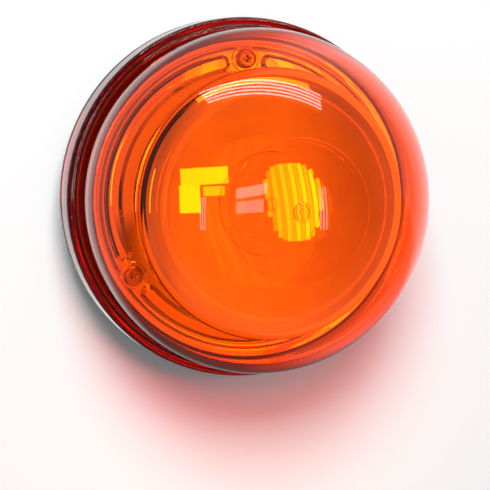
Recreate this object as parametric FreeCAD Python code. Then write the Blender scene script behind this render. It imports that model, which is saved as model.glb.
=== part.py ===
"""Amber LED warning beacon with a screw-on lens, modelled piece by piece.

Units are millimetres. The beacon stands on its mounting face: +Z is its axis, and the origin is the
centre of the mounting face. Each function returns one sub-part, which is written to parts/NAME.step.
"""
import FreeCAD
import Part
import math
import os

V = FreeCAD.Vector

# Overall sizes
RIM_R = 70.0                # lens skirt and base flange
BASE_TOP_Z = 22.0           # top of the base flange, under the lens skirt
LENS_TOP_Z = 113.6          # crown of the lens, under its raised insert

# Lens
LENS_T = 3.0                # wall of the moulded lens
LENS_GAP = 0.3              # air between the skirt and the base flange
SKIRT_TOP_Z = 36.0
SKIRT_BORE_R = 66.8
SKIRT_EDGE_R = 2.0          # rounded upper edge of the skirt
WALL_FOOT_R = 66.3
FOOT_FILLET_R = 1.5
WALL_DRAFT = math.radians(1.7)
SHOULDER_R = 60.7
CROWN_R = 104.0
CROWN_RING_R = 26.0         # edge of the slightly raised moulding insert on the crown
CROWN_RING_STEP = 0.25
GATE_RINGS_R = (3.4, 2.3, 1.2)
GATE_H = 0.3
SEAL_SEAT_Z = 33.0          # inner step of the lens that bears on the seal

# Base housing
FOOT_R = 62.0
BASE_WALL_R = 63.5          # outside of the base just under the flange
FLANGE_Z = 18.5
THREAD_R = 66.0             # plain cylinder that carries the lens thread
COLLAR_SHOULDER_Z = 30.2
COLLAR_R = 62.6
COLLAR_BORE_R = 59.8
COLLAR_TOP_Z = 43.0
FLOOR_T = 4.0
LEDGE_R = 57.2              # inner edge of the ledge that carries the reflector ring
LEDGE_Z = 39.5
RECESS_DEPTH = 1.5          # moulding recesses under the floor
RECESS_IN_R = 14.0
RECESS_OUT_R = 37.0
RECESS_COUNT = 6
RECESS_RIB_W = 2.4

# Mounting
INSERT_PCD = 90.0
INSERT_R = 4.0
INSERT_LEN = 9.0
INSERT_HOLE_R = 2.5         # M6 tapping size
INSERT_BOSS_R = 6.5
INSERT_BOSS_Z = 12.5
GASKET_IN_R = 53.0
GASKET_OUT_R = 60.0
GASKET_T = 2.0
GASKET_PLAY = 0.1
CABLE_HOLE_R = 8.0
GROMMET_BORE_R = 3.2
BREATHER_AT_R = 25.5
BREATHER_HOLE_R = 4.0

# Azimuths of the three-fold features, in degrees from +X
SCREW_AZ = (90.0, 210.0, 330.0)
INSERT_AZ = (30.0, 150.0, 270.0)
PILLAR_AZ = (0.0, 120.0, 240.0)

# Electronics stack
DRIVER_R = 48.0
DRIVER_Z = 18.0
BOARD_T = 1.6
PILLAR_AT_R = 43.0
PILLAR_R = 4.0
STUD_R = 1.5
STANDOFF_AF = 5.5           # across flats of the hexagonal standoffs
SPREADER_R = 47.5
SPREADER_Z = 33.0
SPREADER_T = 3.0
PAD_T = 0.4
LED_BOARD_IN_R = 23.5
LED_BOARD_OUT_R = 39.5
LED_COUNT = 12
LED_AT_R = 34.0
LED_SIZE = 3.5
LED_BODY_H = 0.8
LED_DOME_R = 1.5

# Reflector
SCREW_AT_R = 54.4
SCREW_PILLAR_R = 4.6
SCREW_SHANK_R = 1.9
SCREW_HEAD_R = 4.0
SCREW_HEAD_H = 2.7
RING_IN_R = 45.0
RING_OUT_R = 59.4
RING_LIP_R = 62.3
RING_T = 2.0
RING_LIP_TOP_Z = 44.8
SCREW_PAD_R = 5.0
SCREW_PAD_H = 0.6
KIDNEY_MID_R = 53.5
KIDNEY_HALF_W = 3.9
KIDNEY_BAND = 2.1           # width of the sloping edge
KIDNEY_H = 1.3
KIDNEY_END_DEG = 10.4       # from a screw's azimuth to the centre of a kidney's round end
CONE_FOOT_R = 20.5
CONE_FOOT_H = 2.5
CONE_MOUTH_R = 50.2
CONE_MOUTH_Z = 69.0
CONE_T = 2.2
CONE_BOSS_R = 6.0
CONE_BOSS_Z = 52.0
CAP_R = 52.8
CAP_LINE_R = 48.6           # where the rounded edge of the mirror goes over into the steep band at its rim
CAP_TOP_Z = 89.2
CAP_FACE_R = 135.0          # flat middle of the mirror
CAP_TURN_R = 40.3           # where the face starts to turn down
CAP_SIDE_R = 17.5           # tangent arc from there to the band
CAP_BAND_BULGE = 0.36       # the band is tangent to that arc too
CAP_T = 2.4
CAP_SPIGOT_H = 2.0          # tapered ring that centres the cap in the mouth of the cone
FIT = 0.05                  # play of a light fit inside one body


# Geometry helpers

def polar(radius, degrees, z=0.0):
    """Point at a radius and azimuth."""
    a = math.radians(degrees)
    return V(radius * math.cos(a), radius * math.sin(a), z)


def line(p, q):
    """Straight edge of a profile between two (r, z) points."""
    return Part.LineSegment(V(p[0], 0, p[1]), V(q[0], 0, q[1])).toShape()


def arc(p, m, q):
    """Arc edge of a profile through three (r, z) points."""
    return Part.Arc(V(p[0], 0, p[1]), V(m[0], 0, m[1]), V(q[0], 0, q[1])).toShape()


def arc_about(centre, radius, start, end):
    """Arc edge of a profile about a centre, from one angle to another (radians)."""
    def at(a):
        return (centre[0] + radius * math.cos(a), centre[1] + radius * math.sin(a))
    return arc(at(start), at(0.5 * (start + end)), at(end))


def chain(points):
    """Straight edges through a list of (r, z) points."""
    return [line(p, q) for p, q in zip(points, points[1:])]


def revolve(edges):
    """Solid of revolution about +Z from the edges of a closed (r, z) profile."""
    wire = Part.Wire(Part.__sortEdges__(edges))
    return Part.Face(wire).revolve(V(0, 0, 0), V(0, 0, 1), 360)


def turned(points):
    """Solid of revolution from a closed polygon of (r, z) points."""
    return revolve(chain(points + points[:1]))


def cylinder(radius, z0, z1, at=V(0, 0, 0)):
    """Upright cylinder between two heights."""
    return Part.makeCylinder(radius, z1 - z0, V(at.x, at.y, z0))


def tube(r_in, r_out, z0, z1):
    """Upright ring with a rectangular section."""
    return cylinder(r_out, z0, z1).cut(cylinder(r_in, z0, z1))


def box(size, centre, z0, turn=0.0):
    """Upright block on z0, centred on a point and turned about its own axis."""
    b = Part.makeBox(size[0], size[1], size[2], V(-size[0] / 2, -size[1] / 2, 0))
    b.rotate(V(0, 0, 0), V(0, 0, 1), turn)
    b.translate(V(centre.x, centre.y, z0))
    return b


def pattern(shape, azimuths):
    """Copies of a shape made at azimuth 0, turned to each azimuth."""
    copies = []
    for az in azimuths:
        copy = shape.copy()
        copy.rotate(V(0, 0, 0), V(0, 0, 1), az)
        copies.append(copy)
    return copies


def evenly(count, first=0.0):
    """Azimuths of evenly spaced copies."""
    return [first + 360.0 * i / count for i in range(count)]


def pan_screw(radius, head_r, head_h, z_seat, z_tip, at, slot):
    """Pan-head screw pointing down, with a cross recess in its head."""
    crown = 0.55 * head_h
    top = z_seat + head_h
    edges = chain([(0, top), (0, z_tip), (radius * 0.6, z_tip), (radius, z_tip + radius * 0.6),
                   (radius, z_seat), (head_r, z_seat), (head_r, z_seat + head_h - crown)])
    edges.append(arc((head_r, top - crown), (head_r * 0.72, top - crown * 0.28), (0, top)))
    screw = revolve(edges)
    depth = 0.6 * head_h
    for turn in (0, 90):
        screw = screw.cut(box((slot[0], slot[1], depth * 2), V(0, 0, 0), top - depth, turn))
    screw.translate(V(at.x, at.y, 0))
    return screw


# Lens

class DomeCurve:
    """Outside curve of the lens: a drafted wall, a shoulder arc and a crown arc, all tangent."""

    def __init__(self):
        self.foot_z = SKIRT_TOP_Z + FOOT_FILLET_R
        self.crown_c = (0.0, LENS_TOP_Z - CROWN_R)
        s, c = math.sin(WALL_DRAFT), math.cos(WALL_DRAFT)
        reach = WALL_FOOT_R * c + self.foot_z * s - SHOULDER_R
        qa = (s / c) ** 2 + 1
        qb = -2 * reach * s / c ** 2 - 2 * self.crown_c[1]
        qc = (reach / c) ** 2 + self.crown_c[1] ** 2 - (CROWN_R - SHOULDER_R) ** 2
        z = (-qb + math.sqrt(qb * qb - 4 * qa * qc)) / (2 * qa)
        self.shoulder_c = ((reach - z * s) / c, z)
        self.blend = math.atan2(z - self.crown_c[1], self.shoulder_c[0])

    def wall_top(self, inset):
        """End of the drafted wall, moved inwards by an inset."""
        r = SHOULDER_R - inset
        return (self.shoulder_c[0] + r * math.cos(WALL_DRAFT), self.shoulder_c[1] + r * math.sin(WALL_DRAFT))

    def wall_at(self, z, inset):
        """Point of the drafted wall at a height, moved inwards by an inset."""
        top = self.wall_top(inset)
        return (top[0] + (top[1] - z) * math.tan(WALL_DRAFT), z)

    def shoulder_angle(self, r, inset):
        """Angle on the shoulder arc at a radius from the axis."""
        return math.acos((r - self.shoulder_c[0]) / (SHOULDER_R - inset))

    def shoulder_at(self, r, inset):
        """Point of the shoulder at a radius from the axis, moved inwards by an inset."""
        a = self.shoulder_angle(r, inset)
        return (r, self.shoulder_c[1] + (SHOULDER_R - inset) * math.sin(a))

    def shoulder_arc(self, start, end, inset):
        """Edge along the shoulder between two angles."""
        return arc_about(self.shoulder_c, SHOULDER_R - inset, start, end)

    def crown_arc(self, r_end, inset):
        """Edge along the crown from the end of the shoulder to a radius from the axis."""
        radius = CROWN_R - inset
        return arc_about(self.crown_c, radius, self.blend, math.acos(r_end / radius))

    def crown_z(self, r, inset):
        """Height of the crown at a radius from the axis."""
        return self.crown_c[1] + math.sqrt((CROWN_R - inset) ** 2 - r * r)


def lens_dome():
    """Amber lens: threaded skirt, seal step, drafted wall and dome with a raised crown insert."""
    dome = DomeCurve()
    bottom = BASE_TOP_Z + LENS_GAP
    foot = dome.wall_at(dome.foot_z, 0.0)
    skirt_edge = RIM_R - SKIRT_EDGE_R
    corner = math.sqrt(0.5)
    outside = chain([(RIM_R - 0.8, bottom), (RIM_R, bottom + 0.8), (RIM_R, SKIRT_TOP_Z - SKIRT_EDGE_R)])
    outside.append(arc_about((skirt_edge, SKIRT_TOP_Z - SKIRT_EDGE_R), SKIRT_EDGE_R, 0, math.pi / 2))
    fillet_c = (foot[0] + FOOT_FILLET_R, dome.foot_z)
    outside.append(line((skirt_edge, SKIRT_TOP_Z), (fillet_c[0], SKIRT_TOP_Z)))
    outside.append(arc((fillet_c[0], SKIRT_TOP_Z),
                       (fillet_c[0] - FOOT_FILLET_R * corner, fillet_c[1] - FOOT_FILLET_R * corner), foot))
    outside.append(line(foot, dome.wall_top(0.0)))
    outside.append(dome.shoulder_arc(WALL_DRAFT, dome.shoulder_angle(CROWN_RING_R, 0.0), 0.0))

    # The insert on the crown is a shallow raised disc with the moulding gate at its centre.
    step = -CROWN_RING_STEP
    outside.append(line(dome.shoulder_at(CROWN_RING_R, 0.0), dome.shoulder_at(CROWN_RING_R, step)))
    outside.append(dome.shoulder_arc(dome.shoulder_angle(CROWN_RING_R, step), dome.blend, step))
    rim_r, groove_r, nub_r = GATE_RINGS_R
    outside.append(dome.crown_arc(rim_r, step))
    face_z = dome.crown_z(rim_r, step)
    nub_z = face_z + GATE_H
    outside += chain([(rim_r, face_z), (rim_r, nub_z), (groove_r, nub_z), (groove_r, face_z), (nub_r, face_z),
                      (nub_r, nub_z), (0, nub_z), (0, LENS_TOP_Z - LENS_T)])

    inner_foot = dome.wall_at(SEAL_SEAT_Z, LENS_T)
    inside = [dome.crown_arc(0.0, LENS_T), dome.shoulder_arc(dome.blend, WALL_DRAFT, LENS_T),
              line(dome.wall_top(LENS_T), inner_foot)]
    inside += chain([inner_foot, (SKIRT_BORE_R, SEAL_SEAT_Z), (SKIRT_BORE_R, bottom + 1.0),
                     (SKIRT_BORE_R + 0.6, bottom), (RIM_R - 0.8, bottom)])
    return revolve(outside + inside)


def lens_seal():
    """Round-section seal ring between the lens step and the shoulder of the base."""
    section = 0.5 * (SEAL_SEAT_Z - COLLAR_SHOULDER_Z) - FIT
    middle = 0.5 * (SEAL_SEAT_Z + COLLAR_SHOULDER_Z)
    return Part.makeTorus(0.5 * (COLLAR_R + SKIRT_BORE_R) - 0.2, section, V(0, 0, middle))


# Base

def floor_recesses():
    """Sector pockets under the floor, with ribs left standing between them."""
    ring = tube(RECESS_IN_R, RECESS_OUT_R, 0, RECESS_DEPTH)
    for rib in pattern(box((2 * RECESS_OUT_R, RECESS_RIB_W, RECESS_DEPTH), V(RECESS_OUT_R, 0, 0), 0),
                       evenly(RECESS_COUNT)):
        ring = ring.cut(rib)
    return ring


def base_housing():
    """Black moulded cup: foot, flange, thread cylinder, collar, ledge, pillars and insert bosses."""
    shell = turned([
        (0, 0), (FOOT_R - 0.8, 0), (FOOT_R, 0.8), (BASE_WALL_R, FLANGE_Z - 3.5),
        (BASE_WALL_R + 1.2, FLANGE_Z - 1.2), (BASE_WALL_R + 3.5, FLANGE_Z), (RIM_R - 0.6, FLANGE_Z),
        (RIM_R, FLANGE_Z + 0.6), (RIM_R, BASE_TOP_Z - 0.5), (RIM_R - 0.5, BASE_TOP_Z),
        (THREAD_R, BASE_TOP_Z), (THREAD_R, COLLAR_SHOULDER_Z - 0.6), (THREAD_R - 0.6, COLLAR_SHOULDER_Z),
        (COLLAR_R, COLLAR_SHOULDER_Z), (COLLAR_R, COLLAR_TOP_Z), (COLLAR_BORE_R, COLLAR_TOP_Z),
        (COLLAR_BORE_R, LEDGE_Z), (LEDGE_R, LEDGE_Z), (LEDGE_R, LEDGE_Z - 1.5),
        (COLLAR_BORE_R, LEDGE_Z - 1.5 - (COLLAR_BORE_R - LEDGE_R)), (COLLAR_BORE_R, FLOOR_T + 5),
        (COLLAR_BORE_R - 1.5, FLOOR_T), (0, FLOOR_T)])
    screw_pillar = cylinder(SCREW_PILLAR_R, FLOOR_T, LEDGE_Z, V(SCREW_AT_R, 0, 0))
    insert_boss = cylinder(INSERT_BOSS_R, FLOOR_T, INSERT_BOSS_Z, V(INSERT_PCD / 2, 0, 0))
    board_pillar = cylinder(PILLAR_R, FLOOR_T, DRIVER_Z, V(PILLAR_AT_R, 0, 0))
    body = shell.multiFuse(pattern(screw_pillar, SCREW_AZ) + pattern(insert_boss, INSERT_AZ)
                           + pattern(board_pillar, PILLAR_AZ))
    screw_hole = cylinder(SCREW_SHANK_R + FIT, LEDGE_Z - 14, LEDGE_Z, V(SCREW_AT_R, 0, 0))
    insert_hole = cylinder(INSERT_R + FIT, 0, INSERT_LEN + FIT, V(INSERT_PCD / 2, 0, 0))
    stud_hole = cylinder(STUD_R + FIT, DRIVER_Z - 9, DRIVER_Z, V(PILLAR_AT_R, 0, 0))
    cuts = pattern(screw_hole, SCREW_AZ) + pattern(insert_hole, INSERT_AZ) + pattern(stud_hole, PILLAR_AZ)
    cuts.append(tube(GASKET_IN_R, GASKET_OUT_R, 0, GASKET_T))
    cuts.append(floor_recesses())
    cuts.append(cylinder(RECESS_IN_R - 2, 0, RECESS_DEPTH))
    cuts.append(cylinder(CABLE_HOLE_R, 0, FLOOR_T))
    cuts.append(cylinder(BREATHER_HOLE_R, 0, FLOOR_T, breather_place()))
    return body.cut(cuts).removeSplitter()


def mounting_gasket():
    """Flat rubber ring in the groove of the foot, level with the mounting face."""
    return tube(GASKET_IN_R + GASKET_PLAY, GASKET_OUT_R - GASKET_PLAY, 0, GASKET_T)


def mounting_inserts():
    """Brass inserts for the three fixing bolts, open at the mounting face."""
    r = INSERT_R
    mid = 0.5 * INSERT_LEN
    insert = turned([(INSERT_HOLE_R, 0), (r, 0), (r, mid - 0.8), (r - 0.5, mid - 0.8), (r - 0.5, mid + 0.8),
                     (r, mid + 0.8), (r, INSERT_LEN), (INSERT_HOLE_R, INSERT_LEN)])
    insert.translate(V(INSERT_PCD / 2, 0, 0))
    return Part.makeCompound(pattern(insert, INSERT_AZ))


def cable_grommet():
    """Rubber grommet in the cable inlet, with a flange on either side of the floor."""
    neck = CABLE_HOLE_R - FIT
    return turned([(GROMMET_BORE_R, 0.2), (10.8, 0.2), (10.8, RECESS_DEPTH), (neck, RECESS_DEPTH), (neck, FLOOR_T),
                   (10.8, FLOOR_T), (10.8, FLOOR_T + 1.2), (6.5, FLOOR_T + 6.0), (GROMMET_BORE_R, FLOOR_T + 6.0)])


def breather_place():
    """Axis of the breather plug, in the middle of a floor recess."""
    return polar(BREATHER_AT_R, 180.0 / RECESS_COUNT)


def breather_plug():
    """Pressure-equalising plug with a cap in the recess and a barbed stem through the floor."""
    r = BREATHER_HOLE_R - FIT
    plug = turned([(1.0, 0.3), (5.8, 0.3), (6.2, 0.7), (6.2, RECESS_DEPTH), (r, RECESS_DEPTH), (r, FLOOR_T),
                   (r + 0.7, FLOOR_T), (r, FLOOR_T + 2.0), (1.0, FLOOR_T + 2.0)])
    plug.translate(breather_place())
    return plug


# Electronics

def board_top():
    """Height of the driver board's upper face."""
    return DRIVER_Z + BOARD_T


def driver_board():
    """Round driver board with three fixing holes and a cable notch."""
    board = cylinder(DRIVER_R, DRIVER_Z, board_top())
    holes = pattern(cylinder(STUD_R + 0.1, DRIVER_Z, board_top(), V(PILLAR_AT_R, 0, 0)), PILLAR_AZ)
    notch = cylinder(7.0, DRIVER_Z, board_top())
    keyway = box((DRIVER_R, 9.0, BOARD_T), polar(DRIVER_R, 180.0), DRIVER_Z)
    return board.cut(holes + [notch, keyway])


TERMINAL_AT = polar(22.0, 180.0)
TERMINAL_SIZE = (9.0, 10.2, 9.5)
TERMINAL_PITCH = 5.0


def terminal_block():
    """Two-pole screw terminal with wire entries facing the cable inlet."""
    size = TERMINAL_SIZE
    body = box(size, TERMINAL_AT, board_top())
    slope = box((3.0, size[1], 6.0), V(TERMINAL_AT.x - size[0] / 2, 0, 0), board_top() + size[2] - 3.0, 0)
    body = body.cut(slope)
    for side in (-0.5, 0.5):
        y = side * TERMINAL_PITCH
        entry = box((6.0, 3.0, 3.2), V(TERMINAL_AT.x + size[0] / 2, y, 0), board_top() + 1.0)
        well = cylinder(1.9, board_top() + 4.6, board_top() + size[2], V(TERMINAL_AT.x + 0.8, y, 0))
        body = body.cut([entry, well])
    return body


def terminal_screws():
    """Slotted clamp screws in the wells of the terminal block."""
    screws = []
    for side in (-0.5, 0.5):
        at = V(TERMINAL_AT.x + 0.8, side * TERMINAL_PITCH, 0)
        screw = cylinder(1.8, board_top() + 4.6, board_top() + 8.2, at)
        screws.append(screw.cut(box((0.6, 4.0, 1.2), at, board_top() + 7.2)))
    return Part.makeCompound(screws)


def power_inductor():
    """Shielded power inductor: square base with a round ferrite core."""
    at = polar(24.0, 60.0)
    base = box((12.0, 12.0, 1.6), at, board_top(), 60.0)
    core = cylinder(5.6, board_top() + 1.6, board_top() + 7.0, at)
    waist = tube(4.4, 6.0, board_top() + 2.8, board_top() + 5.8)
    waist.translate(V(at.x, at.y, 0))
    return base.fuse(core.cut(waist)).removeSplitter()


def capacitors():
    """Two electrolytic capacitors with the crimped groove near their foot."""
    z = board_top()
    cans = []
    for az in (300.0, 330.0):
        can = turned([(0, z), (4.0, z), (4.0, z + 1.2), (3.7, z + 1.6), (3.7, z + 2.0), (4.0, z + 2.4),
                      (4.0, z + 10.0), (3.5, z + 10.5), (0, z + 10.5)])
        can.translate(polar(27.0, az))
        cans.append(can)
    return Part.makeCompound(cans)


def control_chips():
    """Driver chip, flash controller and switching transistor, each with its pin rows as one block."""
    chips = []
    for az, size in ((95.0, (5.0, 6.2, 1.5)), (255.0, (7.0, 7.0, 1.2)), (25.0, (6.5, 9.0, 2.3))):
        at = polar(27.0, az)
        body = box(size, at, board_top() + 0.2, az)
        feet = box((size[0] * 0.8, size[1] + 2.0, 0.4), at, board_top(), az)
        chips.append(body.fuse(feet).removeSplitter())
    return Part.makeCompound(chips)


def power_diodes():
    """Moulded diodes that protect the input against reversed leads and surges."""
    diodes = []
    for az in (130.0, 145.0, 215.0):
        at = polar(31.0, az)
        body = box((4.4, 2.8, 2.2), at, board_top() + 0.1, az)
        tabs = box((5.6, 1.6, 0.3), at, board_top(), az)
        diodes.append(body.fuse(tabs).removeSplitter())
    return Part.makeCompound(diodes)


def board_standoffs():
    """Hexagonal brass standoffs, studded through the driver board into the pillars."""
    hexagon = Part.makePolygon([polar(STANDOFF_AF / math.sqrt(3), 30 + az) for az in evenly(6)]
                               + [polar(STANDOFF_AF / math.sqrt(3), 30)])
    prism = Part.Face(hexagon).extrude(V(0, 0, SPREADER_Z - board_top()))
    prism.translate(V(PILLAR_AT_R, 0, board_top()))
    stud = cylinder(STUD_R, DRIVER_Z - 7, board_top(), V(PILLAR_AT_R, 0, 0))
    hole = cylinder(STUD_R + FIT, SPREADER_Z - 9, SPREADER_Z, V(PILLAR_AT_R, 0, 0))
    return Part.makeCompound(pattern(prism.fuse(stud).cut(hole), PILLAR_AZ))


LINK_AT = polar(31.0, 180.0)
LINK_PINS = 4
LINK_PITCH = 2.54


def heat_spreader():
    """Aluminium plate that carries the LED board and the reflector cone."""
    z0, z1 = SPREADER_Z, SPREADER_Z + SPREADER_T
    plate = turned([(0, z0), (SPREADER_R - 0.4, z0), (SPREADER_R, z0 + 0.4), (SPREADER_R, z1 - 0.4),
                    (SPREADER_R - 0.4, z1), (0, z1)])
    holes = pattern(cylinder(STUD_R + 0.2, z0, z1, V(PILLAR_AT_R, 0, 0)), PILLAR_AZ)
    holes += pattern(cylinder(LED_SCREW_R + FIT, z0, z1, V(LED_SCREW_AT_R, 0, 0)), LED_SCREW_AZ)
    holes.append(cylinder(2.2, z0, z1))
    holes.append(box((5.0, LINK_PINS * LINK_PITCH + 2.0, SPREADER_T), LINK_AT, z0))
    return plate.cut(holes)


def spreader_screws():
    """Pan-head screws that hold the heat spreader on its standoffs."""
    z = SPREADER_Z + SPREADER_T
    return Part.makeCompound([pan_screw(STUD_R, 2.8, 1.9, z, z - 9, polar(PILLAR_AT_R, az), (0.7, 3.2))
                              for az in PILLAR_AZ])


def pad_top():
    """Height of the thermal pad's upper face."""
    return SPREADER_Z + SPREADER_T + PAD_T


LED_SCREW_AT_R = 28.0
LED_SCREW_R = 1.25
LED_SCREW_AZ = (75.0, 195.0, 315.0)


def led_ring(z0, z1, play):
    """Ring the size of the LED board, with its screw holes and the slot for the link header."""
    ring = tube(LED_BOARD_IN_R, LED_BOARD_OUT_R, z0, z1)
    cuts = pattern(cylinder(LED_SCREW_R + play, z0, z1, V(LED_SCREW_AT_R, 0, 0)), LED_SCREW_AZ)
    cuts.append(box((3.2, LINK_PINS * LINK_PITCH + 0.6, z1 - z0), LINK_AT, z0))
    return ring.cut(cuts)


def thermal_pad():
    """Soft heat-conducting ring under the LED board."""
    return led_ring(SPREADER_Z + SPREADER_T, pad_top(), 0.5)


def led_board():
    """Metal-core ring board that carries the LEDs."""
    return led_ring(pad_top(), pad_top() + BOARD_T, 0.15)


def led_board_screws():
    """Small pan-head screws that clamp the LED board to the heat spreader."""
    z = pad_top() + BOARD_T
    return Part.makeCompound([pan_screw(LED_SCREW_R, 2.2, 1.5, z, z - 5.0, polar(LED_SCREW_AT_R, az), (0.6, 2.6))
                              for az in LED_SCREW_AZ])


def led_azimuths():
    """Azimuths of the LEDs, set off so that none meets the link header."""
    return evenly(LED_COUNT, 180.0 / LED_COUNT)


def led_bodies():
    """Square ceramic bodies of the LEDs."""
    z = pad_top() + BOARD_T
    body = box((LED_SIZE, LED_SIZE, LED_BODY_H), V(LED_AT_R, 0, 0), z)
    return Part.makeCompound(pattern(body, led_azimuths()))


def led_domes():
    """Silicone domes on the LEDs."""
    z = pad_top() + BOARD_T + LED_BODY_H
    edges = [line((0, z), (LED_DOME_R, z)), arc_about((0, z), LED_DOME_R, 0, math.pi / 2),
             line((0, z + LED_DOME_R), (0, z))]
    dome = revolve(edges)
    dome.translate(V(LED_AT_R, 0, 0))
    return Part.makeCompound(pattern(dome, led_azimuths()))


def link_header():
    """Pin header that joins the driver board to the LED board through the heat spreader."""
    z0 = board_top()
    z1 = pad_top() + BOARD_T
    body = box((2.5, LINK_PINS * LINK_PITCH, 10.5), LINK_AT, z0)
    pins = []
    for i in range(LINK_PINS):
        y = (i - 0.5 * (LINK_PINS - 1)) * LINK_PITCH
        pins.append(box((0.6, 0.6, z1 + 0.8 - z0), V(LINK_AT.x, y, 0), z0))
    return body.multiFuse(pins).removeSplitter()


# Reflector

def kidney_wire(half_w, z):
    """Closed kidney outline round the screw circle, between two screws, at a height."""
    a0 = SCREW_AZ[0] + KIDNEY_END_DEG
    a1 = SCREW_AZ[1] - KIDNEY_END_DEG
    mid = 0.5 * (a0 + a1)
    outer, inner = KIDNEY_MID_R + half_w, KIDNEY_MID_R - half_w
    bulge = math.degrees(half_w / KIDNEY_MID_R)
    edges = [Part.Arc(polar(outer, a0, z), polar(outer, mid, z), polar(outer, a1, z)),
             Part.Arc(polar(outer, a1, z), polar(KIDNEY_MID_R, a1 + bulge, z), polar(inner, a1, z)),
             Part.Arc(polar(inner, a1, z), polar(inner, mid, z), polar(inner, a0, z)),
             Part.Arc(polar(inner, a0, z), polar(KIDNEY_MID_R, a0 - bulge, z), polar(outer, a0, z))]
    return Part.Wire([e.toShape() for e in edges])


def reflector_ring():
    """Metallised ring floor with three raised kidneys, screw pads and a lip over the collar."""
    floor_z = LEDGE_Z + RING_T
    lip_z = COLLAR_TOP_Z + FIT
    bend = 2.2
    edges = chain([(RING_IN_R, LEDGE_Z), (RING_OUT_R, LEDGE_Z), (RING_OUT_R, lip_z), (RING_LIP_R, lip_z),
                   (RING_LIP_R, RING_LIP_TOP_Z - 0.5), (RING_LIP_R - 0.5, RING_LIP_TOP_Z),
                   (RING_OUT_R + 0.5, RING_LIP_TOP_Z)])
    inner_bend = (RING_OUT_R + 0.5 - bend, floor_z + bend)
    edges.append(line((RING_OUT_R + 0.5, RING_LIP_TOP_Z), (RING_OUT_R + 0.5, floor_z + bend)))
    edges.append(arc_about(inner_bend, bend, 0, -math.pi / 2))
    edges += chain([(inner_bend[0], floor_z), (RING_IN_R + 0.6, floor_z), (RING_IN_R, floor_z - 0.6),
                    (RING_IN_R, LEDGE_Z)])
    ring = revolve(edges)
    kidney = Part.makeLoft([kidney_wire(KIDNEY_HALF_W, floor_z - 0.2),
                            kidney_wire(KIDNEY_HALF_W - KIDNEY_BAND, floor_z + KIDNEY_H)], True, True)
    pad = turned([(0, floor_z - 0.2), (SCREW_PAD_R + 0.6, floor_z - 0.2), (SCREW_PAD_R, floor_z + SCREW_PAD_H),
                  (0, floor_z + SCREW_PAD_H)])
    pad.translate(V(SCREW_AT_R, 0, 0))
    ring = ring.multiFuse(pattern(kidney, (0.0, 120.0, 240.0)) + pattern(pad, SCREW_AZ))
    hole = cylinder(SCREW_SHANK_R + 0.3, LEDGE_Z, floor_z + 2, V(SCREW_AT_R, 0, 0))
    return ring.cut(pattern(hole, SCREW_AZ)).removeSplitter()


def ring_screws():
    """Pan-head cross-recess screws that hold the reflector ring down on the base pillars."""
    seat = LEDGE_Z + RING_T + SCREW_PAD_H
    return Part.makeCompound([pan_screw(SCREW_SHANK_R, SCREW_HEAD_R, SCREW_HEAD_H, seat, seat - 13,
                                        polar(SCREW_AT_R, az), (0.9, 4.0)) for az in SCREW_AZ])


def cone_foot_z():
    """Height of the heat spreader's upper face, where the cone stands."""
    return SPREADER_Z + SPREADER_T


def reflector_cone():
    """Metallised trumpet over the LEDs that throws their light out to the sides."""
    z0 = cone_foot_z()
    foot = (CONE_FOOT_R, z0 + CONE_FOOT_H)
    mouth = (CONE_MOUTH_R, CONE_MOUTH_Z)
    slope = math.hypot(mouth[0] - foot[0], mouth[1] - foot[1])
    normal = ((mouth[1] - foot[1]) / slope, -(mouth[0] - foot[0]) / slope)
    hollow = 2.4
    mid = (0.5 * (foot[0] + mouth[0]) - hollow * normal[0], 0.5 * (foot[1] + mouth[1]) - hollow * normal[1])
    in_foot = (foot[0] - 3.0, foot[1])
    in_mid = (mid[0] - CONE_T * normal[0], mid[1] - CONE_T * normal[1])
    in_mouth = (mouth[0] - CONE_T, mouth[1])
    edges = [line((CONE_BOSS_R, z0), (CONE_FOOT_R, z0)), line((CONE_FOOT_R, z0), foot), arc(foot, mid, mouth),
             line(mouth, in_mouth), arc(in_mouth, in_mid, in_foot)]
    edges += chain([in_foot, (CONE_BOSS_R, foot[1]), (CONE_BOSS_R, z0)])
    trumpet = revolve(edges)
    boss = cylinder(CONE_BOSS_R, z0, CONE_BOSS_Z)
    rib = box((12.0, 2.0, 10.0), V(11.5, 0, 0), z0 + 1.0)
    cone = trumpet.multiFuse([boss] + pattern(rib, evenly(6)))
    return cone.cut(cylinder(2.0 + FIT, z0, z0 + 12)).removeSplitter()


def cone_screw():
    """Screw from below that pulls the reflector cone down on the heat spreader."""
    screw = pan_screw(2.0, 3.8, 2.4, 0, -13.0, V(0, 0, 0), (0.9, 4.2))
    screw.rotate(V(0, 0, 0), V(1, 0, 0), 180)
    screw.translate(V(0, 0, SPREADER_Z))
    return screw


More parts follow.
